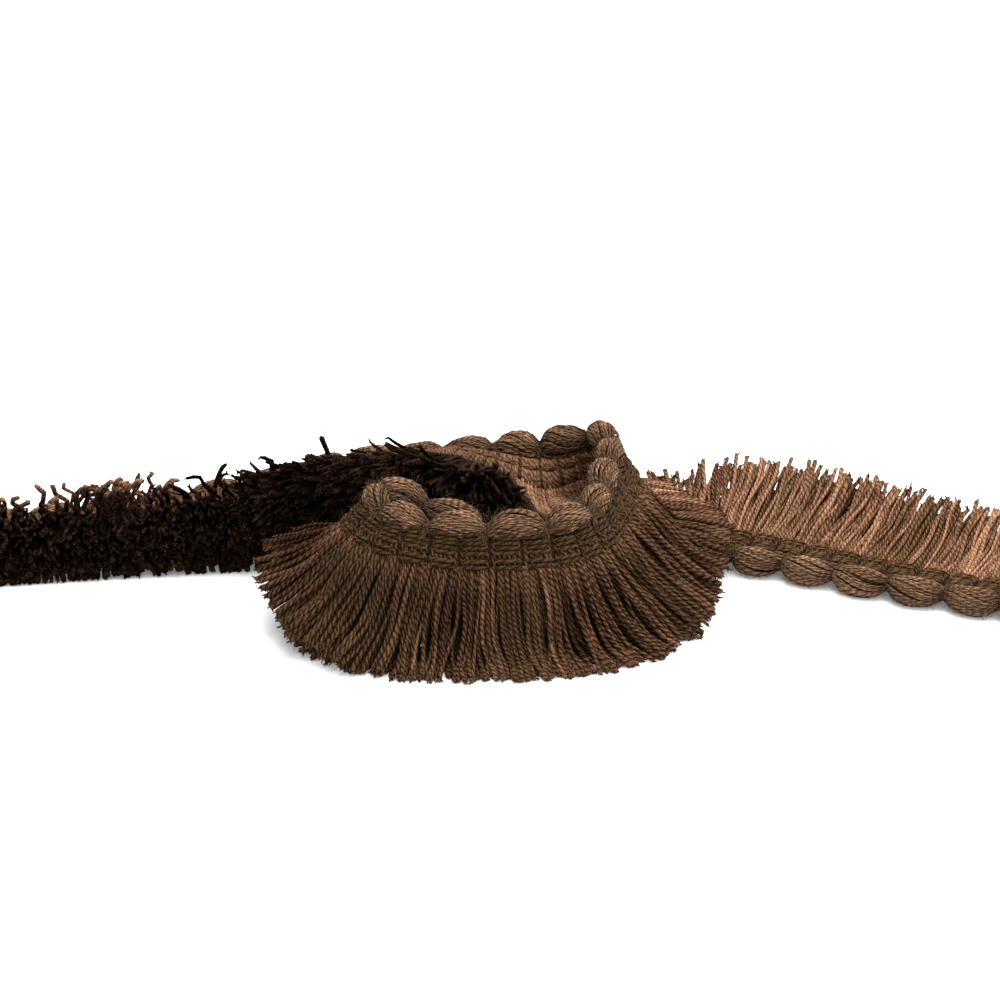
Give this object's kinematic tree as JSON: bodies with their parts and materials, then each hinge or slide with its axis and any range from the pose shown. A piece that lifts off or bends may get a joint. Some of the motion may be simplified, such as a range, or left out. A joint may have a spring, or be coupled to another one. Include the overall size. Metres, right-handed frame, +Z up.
{
  "type": "brush fringe trim",
  "caption": "Cut length of upholstery trim with a woven heading band, a puffed edging cord and a thick cut brush of plied yarn, lying in a loose loop.",
  "frame": {"origin": "on the table under the middle of the trim's bounding box", "axes": "+X along the trim's length from its left end to its right end, +Y away from the front of the loop, +Z up from the table"},
  "size_m": [0.2064, 0.087, 0.0278],
  "materials": {
    "warp_yarn": "matt olive-brown plied yarn",
    "cord_yarn": "matt warm brown bundled yarn",
    "brush_yarn": "matt reddish-brown plied yarn, darker at its cut ends"
  },
  "bodies": {
    "root": {"heading_band": "warp_yarn", "edging_cord": "cord_yarn", "brush_right_end": "brush_yarn", "brush_right": "brush_yarn", "brush_under_loop": "brush_yarn", "brush_rising": "brush_yarn", "brush_left_turn": "brush_yarn", "brush_front": "brush_yarn", "brush_right_turn": "brush_yarn", "brush_back_turn": "brush_yarn", "brush_back": "brush_yarn", "brush_twist": "brush_yarn", "brush_left": "brush_yarn", "brush_left_end": "brush_yarn"}
  },
  "joints": []
}
